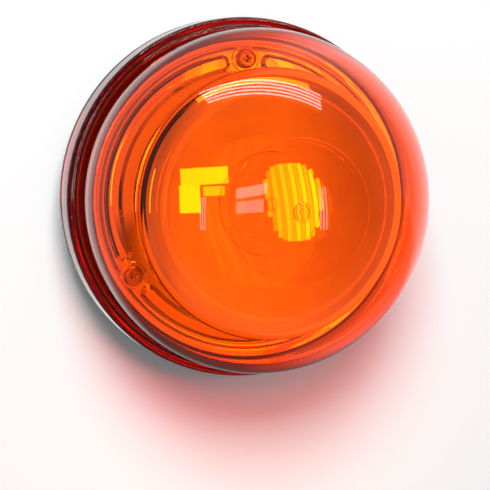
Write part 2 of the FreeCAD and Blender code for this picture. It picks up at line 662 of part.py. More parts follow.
def mirror_cap():
    """Convex metallised cap with a rounded edge, snapped into the mouth of the cone."""
    face_c = (0.0, CAP_TOP_Z - CAP_FACE_R)
    turn = math.acos(CAP_TURN_R / CAP_FACE_R)
    side_c = ((CAP_FACE_R - CAP_SIDE_R) * math.cos(turn), face_c[1] + (CAP_FACE_R - CAP_SIDE_R) * math.sin(turn))
    line_angle = math.acos((CAP_LINE_R - side_c[0]) / CAP_SIDE_R)
    line_p = (CAP_LINE_R, side_c[1] + CAP_SIDE_R * math.sin(line_angle))
    rim_z = CONE_MOUTH_Z + FIT
    edge = (CAP_R, rim_z + 1.0)
    drop, reach = line_p[1] - edge[1], CAP_R - CAP_LINE_R
    band = math.hypot(drop, reach)
    bulge = (0.5 * (CAP_LINE_R + CAP_R) + CAP_BAND_BULGE * drop / band,
             0.5 * (line_p[1] + edge[1]) + CAP_BAND_BULGE * reach / band)
    spigot_r = CONE_MOUTH_R - CONE_T - 0.4
    spigot_z = rim_z - CAP_SPIGOT_H
    under_side_r = CAP_SIDE_R - CAP_T
    under_angle = math.acos((CAP_LINE_R - 3.0 - side_c[0]) / under_side_r)
    under = (CAP_LINE_R - 3.0, side_c[1] + under_side_r * math.sin(under_angle))
    edges = [arc_about(face_c, CAP_FACE_R, math.pi / 2, turn), arc_about(side_c, CAP_SIDE_R, turn, line_angle),
             arc(line_p, bulge, edge)]
    edges += chain([edge, (CAP_R - 0.6, rim_z), (spigot_r, rim_z), (spigot_r - 1.6 * CAP_SPIGOT_H, spigot_z),
                    (spigot_r - 1.6 * CAP_SPIGOT_H - 1.4, spigot_z), (under[0] - 0.4, under[1] - 4.0), under])
    edges += [arc_about(side_c, under_side_r, under_angle, turn),
              arc_about(face_c, CAP_FACE_R - CAP_T, turn, math.pi / 2)]
    edges.append(line((0, CAP_TOP_Z - CAP_T), (0, CAP_TOP_Z)))
    return revolve(edges)


PARTS = [base_housing, mounting_gasket, mounting_inserts, cable_grommet, breather_plug, driver_board,
         terminal_block, terminal_screws, power_inductor, capacitors, control_chips, power_diodes,
         board_standoffs, heat_spreader, spreader_screws, thermal_pad, led_board, led_board_screws,
         led_bodies, led_domes, link_header, reflector_cone, cone_screw, mirror_cap, reflector_ring,
         ring_screws, lens_seal, lens_dome]

os.makedirs("parts", exist_ok=True)
for make in PARTS:
    shape = make()
    shape.exportStep("parts/" + make.__name__ + ".step")
    state = "valid" if shape.isValid() else "NOT VALID"
    print(make.__name__, state, len(shape.Solids), "solids", round(shape.Volume / 1000, 2), "cm3")
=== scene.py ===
"""Amber warning beacon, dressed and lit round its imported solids.

Lengths are metres in the frame of the solids: +Z is the axis of the beacon and the mounting face is at Z = 0.
"""
import logging
import math
from collections.abc import Callable
from dataclasses import dataclass
from enum import Enum
from functools import cache
from typing import Protocol

import bmesh
import bpy
from mathutils import Matrix, Vector


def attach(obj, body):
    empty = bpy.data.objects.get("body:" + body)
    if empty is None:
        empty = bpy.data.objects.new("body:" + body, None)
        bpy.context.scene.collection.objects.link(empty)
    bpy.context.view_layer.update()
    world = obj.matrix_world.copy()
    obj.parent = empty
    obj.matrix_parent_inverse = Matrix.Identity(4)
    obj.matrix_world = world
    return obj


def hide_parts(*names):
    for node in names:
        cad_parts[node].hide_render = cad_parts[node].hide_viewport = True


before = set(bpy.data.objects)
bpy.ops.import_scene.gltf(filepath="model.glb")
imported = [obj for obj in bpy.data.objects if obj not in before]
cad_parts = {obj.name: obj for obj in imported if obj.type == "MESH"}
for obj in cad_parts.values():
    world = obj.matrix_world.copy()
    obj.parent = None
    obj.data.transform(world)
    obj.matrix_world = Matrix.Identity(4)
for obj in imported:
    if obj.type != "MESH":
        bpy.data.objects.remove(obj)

logging.basicConfig(level=logging.INFO, format="%(message)s")
LOG = logging.getLogger("beacon")

Colour = tuple[float, float, float]
Direction = tuple[float, float, float]
Point = tuple[float, float]
Socket = bpy.types.NodeSocket
Piece = bpy.types.Object
Material = bpy.types.Material

MM = 0.001
FULL_TURN = 2.0 * math.pi
QUARTER_TURN = 0.5 * math.pi
TURN_DEG = 360.0
MERGE_GAP = 0.002 * MM
SMOOTH_ANGLE = 35.0
TURNED_ANGLE = 25.0
WHITE: Colour = (1.0, 1.0, 1.0)
BLACK: Colour = (0.0, 0.0, 0.0)
NOISE_SPAN: Point = (0.3, 0.7)
PLAIN_NOISE = 1.0
FINE_NOISE = 2.0
SOFT_NOISE = 3.0
RICH_NOISE = 4.0
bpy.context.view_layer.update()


class Body(Enum):
    """Rigid bodies of the beacon that new pieces ride on."""

    BASE = "base"
    LENS = "lens"


class Slot(Enum):
    """Material slots of the record, one named with each new piece."""

    HOUSING = "housing_plastic"
    STEEL = "screw_steel"
    LENS = "amber_lens"
    MIRROR = "metallised_plastic"
    BRASS = "brass"


# Node graphs

@dataclass(frozen=True)
class Ramp:
    """Range of a value, and what the value becomes at its two ends."""

    start: float
    end: float
    low: float = 0.0
    high: float = 1.0


class Graph:
    """Node tree of a material or the world, built node by node."""

    def __init__(self, tree: bpy.types.NodeTree) -> None:
        """Start with an empty tree.

        Args:
            tree: tree to fill.
        """
        self.tree = tree
        self.tree.nodes.clear()
        self.coordinates = self.add("ShaderNodeTexCoord")
        self.place = self.coordinates.outputs["Object"]

    def add(self, kind: str, inputs: dict | None = None, **values: object) -> bpy.types.Node:
        """Add a node, set its properties and feed its inputs.

        Args:
            kind: Blender's name of the node type.
            inputs: value or source of each input, by name or place.
            values: properties of the node, by name.

        Returns:
            The new node.
        """
        node = self.tree.nodes.new(kind)
        for key, value in values.items():
            setattr(node, key, value)
        for key, value in (inputs or {}).items():
            self.feed(node.inputs[key], value)
        return node

    def feed(self, socket: Socket, value: object) -> None:
        """Link a socket's source or set its value.

        Args:
            socket: input to set.
            value: an output socket, or a plain value.
        """
        if isinstance(value, Socket):
            self.tree.links.new(value, socket)
        elif isinstance(value, tuple) and len(value) == 3 and len(socket.default_value) == 4:
            socket.default_value = (*value, 1.0)
        else:
            socket.default_value = value

    def mapped(self, scale: Direction) -> Socket:
        """Object coordinates stretched by a scale along each axis."""
        return self.add("ShaderNodeMapping", {"Vector": self.place, "Scale": scale}).outputs["Vector"]

    def noise(self, scale: float, detail: float = SOFT_NOISE, place: Socket | None = None) -> Socket:
        """Noise of a scale in lumps per metre, over the object unless a place is given."""
        inputs = {"Vector": place or self.place, "Scale": scale, "Detail": detail}
        return self.add("ShaderNodeTexNoise", inputs).outputs["Fac"]

    def spread(self, value: Socket, low: float, high: float, span: Point = NOISE_SPAN) -> Socket:
        """Map a value from a span to the range from low to high."""
        ends = {"From Min": span[0], "From Max": span[1], "To Min": low, "To Max": high}
        return self.add("ShaderNodeMapRange", {"Value": value, **ends}).outputs["Result"]

    def ramp(self, value: Socket, ramp: Ramp) -> Socket:
        """Map a value by a ramp."""
        return self.spread(value, ramp.low, ramp.high, (ramp.start, ramp.end))

    def blend(self, share: object, first: object, second: object) -> Socket:
        """Mix two colours by the share of the second."""
        return self.add("ShaderNodeMix", {0: share, 6: first, 7: second}, data_type="RGBA").outputs[2]

    def choose(self, share: object, first: object, second: object) -> Socket:
        """Mix two values by the share of the second."""
        return self.add("ShaderNodeMix", {0: share, 2: first, 3: second}, data_type="FLOAT").outputs[0]

    def math(self, operation: str, first: object, second: object = 0.0) -> Socket:
        """Calculate with one or two values, by Blender's name of the operation."""
        return self.add("ShaderNodeMath", {0: first, 1: second}, operation=operation).outputs[0]

    def product(self, first: object, *others: object) -> Socket:
        """Multiply values.

        Args:
            first: value or socket.
            others: values or sockets, at least one.

        Returns:
            The product.
        """
        for other in others:
            first = self.math("MULTIPLY", first, other)
        return first

    def bump(self, height: Socket, strength: float, depth: float) -> Socket:
        """Bumped normal from a height of 0 to 1, which stands for a depth in metres."""
        inputs = {"Height": height, "Strength": strength, "Distance": depth}
        return self.add("ShaderNodeBump", inputs).outputs["Normal"]

    def mirror_rays(self, path: bpy.types.Node) -> Socket:
        """Value of 1 for rays that metal or glass sends on."""
        return self.math("MAXIMUM", path.outputs["Is Glossy Ray"], path.outputs["Is Transmission Ray"])

    def inside_rays(self, path: bpy.types.Node) -> Socket:
        """Value of 1 for rays that have come through the lens."""
        return self.math("GREATER_THAN", path.outputs["Transmission Depth"], 0.5)


class Paint(Graph):
    """Node tree of one material."""

    def __init__(self, name: str) -> None:
        """Start a material.

        Args:
            name: name of the material.
        """
        self.material = bpy.data.materials.new(name)
        self.material.use_nodes = True
        super().__init__(self.material.node_tree)
        self.output = self.add("ShaderNodeOutputMaterial")

    def surface(self, **sockets: object) -> bpy.types.Node:
        """Add the main shader and join it to the output.

        Args:
            sockets: inputs by name, with _ for a space.

        Returns:
            The shader node.
        """
        inputs = {key.replace("_", " "): value for key, value in sockets.items()}
        shader = self.add("ShaderNodeBsdfPrincipled", inputs)
        self.feed(self.output.inputs["Surface"], shader.outputs[0])
        return shader

    def mix(self, share: Socket, first: bpy.types.Node, second: bpy.types.Node) -> None:
        """Join a mix of two shaders, by the share of the second, to the output."""
        choice = self.add("ShaderNodeMixShader", {0: share, 1: first.outputs[0], 2: second.outputs[0]})
        self.feed(self.output.inputs["Surface"], choice.outputs[0])


# Finishes

class Finish(Protocol):
    """What every finish has."""

    name: str

    def make(self) -> Material:
        """Build the material."""


@dataclass(frozen=True)
class MouldedPlastic:
    """Moulded plastic or rubber with a spark-eroded grain and uneven sheen."""

    name: str
    colour: Colour
    roughness: float = 0.45
    grain: float = 1800.0
    grain_depth: float = 0.04 * MM
    grain_share: float = 0.35
    patch: float = 60.0
    sheen: Point = (-0.07, 0.1)
    wear: float = 0.6
    wear_gain: float = 1.5
    wear_lift: float = 0.006
    index: float = 1.5

    def make(self) -> Material:
        """Build the material."""
        p = Paint(self.name)
        worn = tuple(min(1.0, c * self.wear_gain + self.wear_lift) for c in self.colour)
        patches = p.noise(self.patch, RICH_NOISE)
        smooth, rough = (self.roughness + change for change in self.sheen)
        p.surface(Base_Color=p.blend(p.spread(patches, 0.0, self.wear), self.colour, worn), IOR=self.index,
                  Roughness=p.spread(patches, smooth, rough),
                  Normal=p.bump(p.noise(self.grain, FINE_NOISE), self.grain_share, self.grain_depth))
        return p.material


@dataclass(frozen=True)
class WorkedMetal:
    """Turned, drawn or plated metal with fine tool lines and hazy patches."""

    name: str
    colour: Colour
    roughness: float = 0.28
    haze_and_painted_reflection: float = 220.0
    sheen: Point = (-0.06, 0.1)
    dull: float = 0.72
    dull_share: float = 0.5
    line_scale: Direction = (400.0, 400.0, 6000.0)
    line_share: float = 0.3
    line_depth: float = 0.01 * MM

    def make(self) -> Material:
        """Build the material."""
        p = Paint(self.name)
        haze_and_painted_reflection = p.noise(self.haze_and_painted_reflection, RICH_NOISE)
        lines = p.noise(1.0, FINE_NOISE, p.mapped(self.line_scale))
        dull = tuple(c * self.dull for c in self.colour)
        smooth, rough = (self.roughness + change for change in self.sheen)
        p.surface(Base_Color=p.blend(p.spread(haze_and_painted_reflection, 0.0, self.dull_share), self.colour, dull), Metallic=1.0,
                  Roughness=p.spread(haze_and_painted_reflection, smooth, rough),
                  Normal=p.bump(lines, self.line_share, self.line_depth))
        return p.material


@dataclass(frozen=True)
class MetallisedPlastic:
    """Vacuum-metallised plastic: a mirror with the faint waviness of the moulding under it."""

    name: str
    colour: Colour = (0.96, 0.955, 0.95)
    speck_colour: Colour = (0.7, 0.66, 0.6)
    dust: float = 2600.0
    speck: Ramp = Ramp(0.62, 0.75, 0.0, 0.1)
    sheen: Point = (0.01, 0.05)
    wave: float = 26.0
    wave_share: float = 0.1
    wave_depth: float = 0.4 * MM

    def make(self) -> Material:
        """Build the material."""
        p = Paint(self.name)
        dust = p.noise(self.dust, FINE_NOISE)
        p.surface(Base_Color=p.blend(p.ramp(dust, self.speck), self.colour, self.speck_colour),
                  Metallic=1.0, Roughness=p.spread(dust, *self.sheen),
                  Normal=p.bump(p.noise(self.wave, PLAIN_NOISE), self.wave_share, self.wave_depth))
        return p.material


@dataclass(frozen=True)
class AmberLens:
    """Clear amber polycarbonate whose colour deepens with the length of the way through it."""

    name: str
    index: float = 1.58
    kept: Colour = (0.9975, 0.815, 0.06)
    density: float = 2000.0
    smear: float = 70.0
    sheen: Ramp = Ramp(0.5, 0.8, 0.0, 0.012)
    flow: float = 30.0
    flow_share: float = 0.1
    flow_depth: float = 0.04 * MM

    def make(self) -> Material:
        """Build the material."""
        p = Paint(self.name)
        shader = p.surface(Base_Color=WHITE, IOR=self.index, Transmission_Weight=1.0,
                           Roughness=p.ramp(p.noise(self.smear, RICH_NOISE), self.sheen),
                           Normal=p.bump(p.noise(self.flow, PLAIN_NOISE), self.flow_share, self.flow_depth))
        shadow = p.add("ShaderNodeLightPath").outputs["Is Shadow Ray"]
        p.mix(shadow, shader, p.add("ShaderNodeBsdfTransparent"))
        tint = p.add("ShaderNodeVolumeAbsorption", {"Color": self.kept, "Density": self.density})
        p.feed(p.output.inputs["Volume"], tint.outputs[0])
        return p.material


@dataclass(frozen=True)
class BoardLaminate:
    """Circuit board under solder resist, with tracks that show as paler bands."""

    name: str
    resist: Colour
    track: Colour
    pitch: float = 220.0
    track_width: float = 0.11
    track_share: float = 0.4
    track_depth: float = 0.04 * MM
    mottle: float = 900.0
    mottle_dark: float = 0.8
    roughness: float = 0.32
    coat: float = 0.3

    def make(self) -> Material:
        """Build the material."""
        p = Paint(self.name)
        inputs = {"Vector": p.place, "Scale": self.pitch, "Mortar Size": self.track_width}
        edge = p.add("ShaderNodeTexBrick", inputs).outputs["Fac"]
        tone = p.blend(p.noise(self.mottle), self.resist, tuple(c * self.mottle_dark for c in self.resist))
        p.surface(Base_Color=p.blend(edge, tone, self.track), Roughness=self.roughness, Coat_Weight=self.coat,
                  Normal=p.bump(edge, self.track_share, self.track_depth))
        return p.material


@dataclass(frozen=True)
class LedPhosphor:
    """Yellow phosphor under a clear silicone dome."""

    name: str
    colour: Colour = (0.9, 0.55, 0.04)
    speck_colour: Colour = (0.95, 0.7, 0.16)
    speck: float = 5200.0
    speck_share: float = 0.7
    grain_share: float = 0.1
    grain_depth: float = 0.02 * MM
    roughness: float = 0.12
    index: float = 1.41

    def make(self) -> Material:
        """Build the material."""
        p = Paint(self.name)
        speck = p.noise(self.speck, FINE_NOISE)
        tone = p.blend(p.spread(speck, 0.0, self.speck_share), self.colour, self.speck_colour)
        p.surface(Base_Color=tone, Roughness=self.roughness, IOR=self.index, Coat_Weight=1.0,
                  Normal=p.bump(speck, self.grain_share, self.grain_depth))
        return p.material


BLACK_HOUSING = MouldedPlastic("black_housing", (0.012, 0.012, 0.013), 0.42)
SEAL_RUBBER = MouldedPlastic("seal_rubber", (0.014, 0.014, 0.014), 0.72, 2600.0, 0.06 * MM)
GREY_BREATHER = MouldedPlastic("grey_breather", (0.05, 0.05, 0.054), 0.5)
COMPONENT_BLACK = MouldedPlastic("component_black", (0.02, 0.02, 0.021), 0.5, 3200.0)
TERMINAL_GREEN = MouldedPlastic("terminal_green", (0.03, 0.28, 0.1), 0.4)
PAD_GREY = MouldedPlastic("pad_grey", (0.3, 0.3, 0.34), 0.8, 3000.0, 0.08 * MM)
LED_CERAMIC = MouldedPlastic("led_ceramic", (0.78, 0.78, 0.75), 0.4, 4000.0)
BRASS = WorkedMetal("turned_brass", (0.78, 0.55, 0.22), 0.3)
PLATED_STEEL = WorkedMetal("plated_steel", (0.66, 0.65, 0.64), 0.26)
DRAWN_CAN = WorkedMetal("drawn_can", (0.78, 0.78, 0.8), 0.25)
TURNED_PLATE = WorkedMetal("turned_plate", (0.72, 0.73, 0.75), 0.3)
MIRROR = MetallisedPlastic("metallised_mirror")
LENS_AMBER = AmberLens("amber_polycarbonate")
DRIVER_GREEN = BoardLaminate("driver_resist", (0.01, 0.12, 0.035), (0.03, 0.2, 0.06))
LED_WHITE = BoardLaminate("led_resist", (0.78, 0.78, 0.76), (0.7, 0.71, 0.7), 160.0)
PHOSPHOR = LedPhosphor("led_phosphor")

NODE_FINISH = {
    "base_housing": BLACK_HOUSING, "mounting_gasket": SEAL_RUBBER, "mounting_inserts": BRASS,
    "cable_grommet": SEAL_RUBBER, "breather_plug": GREY_BREATHER, "driver_board": DRIVER_GREEN,
    "terminal_block": TERMINAL_GREEN, "terminal_screws": PLATED_STEEL, "power_inductor": COMPONENT_BLACK,
    "capacitors": DRAWN_CAN, "control_chips": COMPONENT_BLACK, "power_diodes": COMPONENT_BLACK,
    "board_standoffs": BRASS, "heat_spreader": TURNED_PLATE, "spreader_screws": PLATED_STEEL,
    "thermal_pad": PAD_GREY, "led_board": LED_WHITE, "led_board_screws": PLATED_STEEL,
    "led_bodies": LED_CERAMIC, "led_domes": PHOSPHOR, "link_header": COMPONENT_BLACK,
    "reflector_cone": MIRROR, "cone_screw": PLATED_STEEL, "reflector_ring": MIRROR, "lens_seal": SEAL_RUBBER,
}


@cache
def material_of(finish: Finish) -> Material:
    """Material of a finish, made at its first use."""
    return finish.make()


# Modelling bench

class Bench:
    """Operators on one mesh at a time, as at a modelling bench."""

    @staticmethod
    def mode(name: str) -> None:
        """Change to edit or object mode."""
        bpy.ops.object.mode_set(mode=name)

    @staticmethod
    def clear() -> None:
        """Leave edit mode and deselect everything."""
        if bpy.context.object and bpy.context.object.mode != "OBJECT":
            Bench.mode("OBJECT")
        bpy.ops.object.select_all(action="DESELECT")

    @staticmethod
    def take(piece: Piece) -> None:
        """Make a piece the only selected one."""
        Bench.clear()
        piece.select_set(True)
        bpy.context.view_layer.objects.active = piece

    @staticmethod
    def fix() -> None:
        """Put the place of the selected piece into its mesh."""
        bpy.ops.object.transform_apply(location=True, rotation=True, scale=True)

    @staticmethod
    def pick(piece: Piece, test: Callable, kind: str = "verts") -> None:
        """Select in edit mode by a test on each element.

        Args:
            piece: object in edit mode.
            test: function of an element that says whether it is wanted.
            kind: verts, edges or faces.
        """
        mesh = bmesh.from_edit_mesh(piece.data)
        bpy.ops.mesh.select_all(action="DESELECT")
        for element in getattr(mesh, kind):
            if test(element):
                element.select_set(True)
        mesh.select_flush_mode()
        bmesh.update_edit_mesh(piece.data)

    @staticmethod
    def apply(piece: Piece, kind: str, **values: object) -> None:
        """Add a modifier and apply it.

        Args:
            piece: object to change.
            kind: Blender's name of the modifier type.
            values: settings of the modifier, by name.
        """
        Bench.take(piece)
        modifier = piece.modifiers.new(kind.lower(), kind)
        for key, value in values.items():
            setattr(modifier, key, value)
        bpy.ops.object.modifier_apply(modifier=modifier.name)

    @staticmethod
    def settle(piece: Piece, angle: float = SMOOTH_ANGLE) -> None:
        """Put a piece's place into its mesh, mend its normals and shade it.

        Args:
            piece: finished object.
            angle: sharpest angle in degrees that is still shaded smooth.
        """
        Bench.take(piece)
        Bench.fix()
        Bench.mode("EDIT")
        bpy.ops.mesh.select_all(action="SELECT")
        bpy.ops.mesh.remove_doubles(threshold=MERGE_GAP)
        bpy.ops.mesh.normals_make_consistent(inside=False)
        Bench.mode("OBJECT")
        bpy.ops.object.shade_smooth_by_angle(angle=math.radians(angle))

    @staticmethod
    def repeat(piece: Piece, places: list[Point], name: str) -> Piece:
        """Copy a piece round the axis and join the copies.

        Args:
            piece: object modelled at azimuth 0 with its place in its mesh.
            places: azimuth in degrees and lift in metres of each copy.
            name: name of the result.

        Returns:
            The joined object.
        """
        made = [piece]
        for _ in places[1:]:
            twin = piece.copy()
            twin.data = piece.data.copy()
            bpy.context.scene.collection.objects.link(twin)
            made.append(twin)
        Bench.take(piece)
        for one, (azimuth, lift) in zip(made, places):
            turn = Matrix.Rotation(math.radians(azimuth), 4, "Z")
            one.data.transform(Matrix.Translation((0.0, 0.0, lift)) @ turn)
            one.select_set(True)
        bpy.ops.object.join()
        piece.name = name
        return piece


class Lathe:
    """Profile drawn from point to point in the XZ plane and spun about the axis."""

    def __init__(self, name: str, r: float, z: float) -> None:
        """Start the profile.

        Args:
            name: name of the piece.
            r: radius of the first point.
            z: height of the first point.
        """
        Bench.clear()
        bpy.ops.mesh.primitive_plane_add(size=MM, location=(r, 0.0, z))
        self.piece = bpy.context.object
        self.piece.name = name
        Bench.fix()
        Bench.mode("EDIT")
        bpy.ops.mesh.select_all(action="SELECT")
        bpy.ops.mesh.merge(type="CENTER")
        self.at: Point = (r, z)

    def line(self, r: float, z: float, steps: int = 1) -> None:
        """Draw a straight run.

        Args:
            r: radius of its end.
            z: height of its end.
            steps: parts of the run.
        """
        move = ((r - self.at[0]) / steps, 0.0, (z - self.at[1]) / steps)
        for _ in range(steps):
            bpy.ops.mesh.extrude_region_move(TRANSFORM_OT_translate={"value": move})
        self.at = (r, z)

    def arc(self, centre: Point, turn: float, steps: int) -> None:
        """Draw an arc.

        Args:
            centre: radius and height of its centre.
            turn: angle in radians, positive from +X towards +Z.
            steps: parts of the arc.
        """
        bpy.ops.mesh.spin(steps=steps, angle=turn, center=(centre[0], 0.0, centre[1]), axis=(0.0, 1.0, 0.0))
        dr, dz = self.at[0] - centre[0], self.at[1] - centre[1]
        self.at = (centre[0] + dr * math.cos(turn) - dz * math.sin(turn),
                   centre[1] + dr * math.sin(turn) + dz * math.cos(turn))

    def spin(self, steps: int) -> Piece:
        """Spin the profile round the axis.

        Args:
            steps: parts of the full turn.

        Returns:
            The turned piece.
        """
        bpy.ops.mesh.select_all(action="SELECT")
        bpy.ops.mesh.spin(steps=steps, angle=FULL_TURN, center=(0.0, 0.0, 0.0), axis=(0.0, 0.0, 1.0))
        Bench.mode("OBJECT")
        Bench.settle(self.piece, TURNED_ANGLE)
        return self.piece


def dress(piece: Piece, finish: Finish) -> None:
    """Give a piece one finish all over."""
    piece.data.materials.clear()
    piece.data.materials.append(material_of(finish))


def place(piece: Piece, finish: Finish, body: Body, slot: Slot) -> None:
    """Dress a new piece and let it ride on its body.

    Args:
        piece: finished object.
        finish: its finish.
        body: body that carries it.
        slot: not used.
    """
    dress(piece, finish)
    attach(piece, body.value)
    LOG.info("%s rides on %s with %d faces", piece.name, body.value, len(piece.data.polygons))


# Sub-assemblies

@dataclass(frozen=True)
class HelixRidge:
    """Ridge of trapezoid section that climbs round the axis."""

    radius: float
    height: float
    bed: float
    root: float
    crest: float
    lead: float

    def build(self, name: str, low: float, turn: float, steps: int) -> Piece:
        """Model the ridge from azimuth 0.

        Args:
            name: name of the piece.
            low: height of the middle of its lower end.
            turn: angle in radians that it covers.
            steps: parts of that angle.

        Returns:
            The closed ridge.
        """
        Bench.clear()
        bpy.ops.mesh.primitive_plane_add(size=1.0, rotation=(QUARTER_TURN, 0.0, 0.0))
        ridge = bpy.context.object
        ridge.name = name
        Bench.fix()
        for vertex in ridge.data.vertices:
            top = vertex.co.x > 0.0
            width = self.crest if top else self.root
            vertex.co.x = self.radius + (self.height if top else -self.bed)
            vertex.co.z = low + (0.5 if vertex.co.z > 0.0 else -0.5) * width
        Bench.apply(ridge, "SCREW", angle=turn, screw_offset=self.lead * turn / FULL_TURN, iterations=1,
                    steps=steps, render_steps=steps, axis="Z", use_merge_vertices=False)
        Bench.mode("EDIT")
        bpy.ops.mesh.select_mode(type="EDGE")
        bpy.ops.mesh.select_all(action="DESELECT")
        bpy.ops.mesh.select_non_manifold()
        bpy.ops.mesh.edge_face_add()
        bpy.ops.mesh.select_mode(type="VERT")
        Bench.mode("OBJECT")
        Bench.settle(ridge)
        return ridge


@dataclass(frozen=True)
class BaseThread:
    """Coarse three-start thread of the base, moulded in short runs."""

    ridge: HelixRidge = HelixRidge(radius=66.0 * MM, height=0.36 * MM, bed=0.25 * MM, root=1.5 * MM,
                                   crest=0.7 * MM, lead=12.0 * MM)
    low: float = 23.6 * MM
    starts: tuple[float, ...] = (20.0, 140.0, 260.0)
    runs: int = 30
    pitch_deg: float = 5.0
    run_deg: float = 3.5
    run_steps: int = 4

    def build(self) -> None:
        """Model one run and repeat it along the three starts."""
        run = self.ridge.build("base_thread", self.low, math.radians(self.run_deg), self.run_steps)
        rise = self.ridge.lead * self.pitch_deg / TURN_DEG
        places = [(start + i * self.pitch_deg, i * rise) for start in self.starts for i in range(self.runs)]
        thread = Bench.repeat(run, places, "base_thread")
        place(thread, BLACK_HOUSING, Body.BASE, Slot.HOUSING)


@dataclass(frozen=True)
class InsertThreads:
    """Fixing thread in the three brass inserts, drawn as a low ridge in the bore."""

    ridge: HelixRidge = HelixRidge(radius=2.5 * MM, height=0.02 * MM, bed=0.11 * MM, root=0.3 * MM,
                                   crest=0.6 * MM, lead=1.0 * MM)
    circle: float = 45.0 * MM
    azimuths: tuple[float, ...] = (30.0, 150.0, 270.0)
    low: float = 0.9 * MM
    turns: float = 7.0
    steps: int = 252

    def build(self) -> None:
        """Model one thread and copy it to the three inserts."""
        thread = self.ridge.build("insert_threads", self.low, FULL_TURN * self.turns, self.steps)
        thread.data.transform(Matrix.Translation((self.circle, 0.0, 0.0)))
        threads = Bench.repeat(thread, [(azimuth, 0.0) for azimuth in self.azimuths], "insert_threads")
        place(threads, BRASS, Body.BASE, Slot.BRASS)


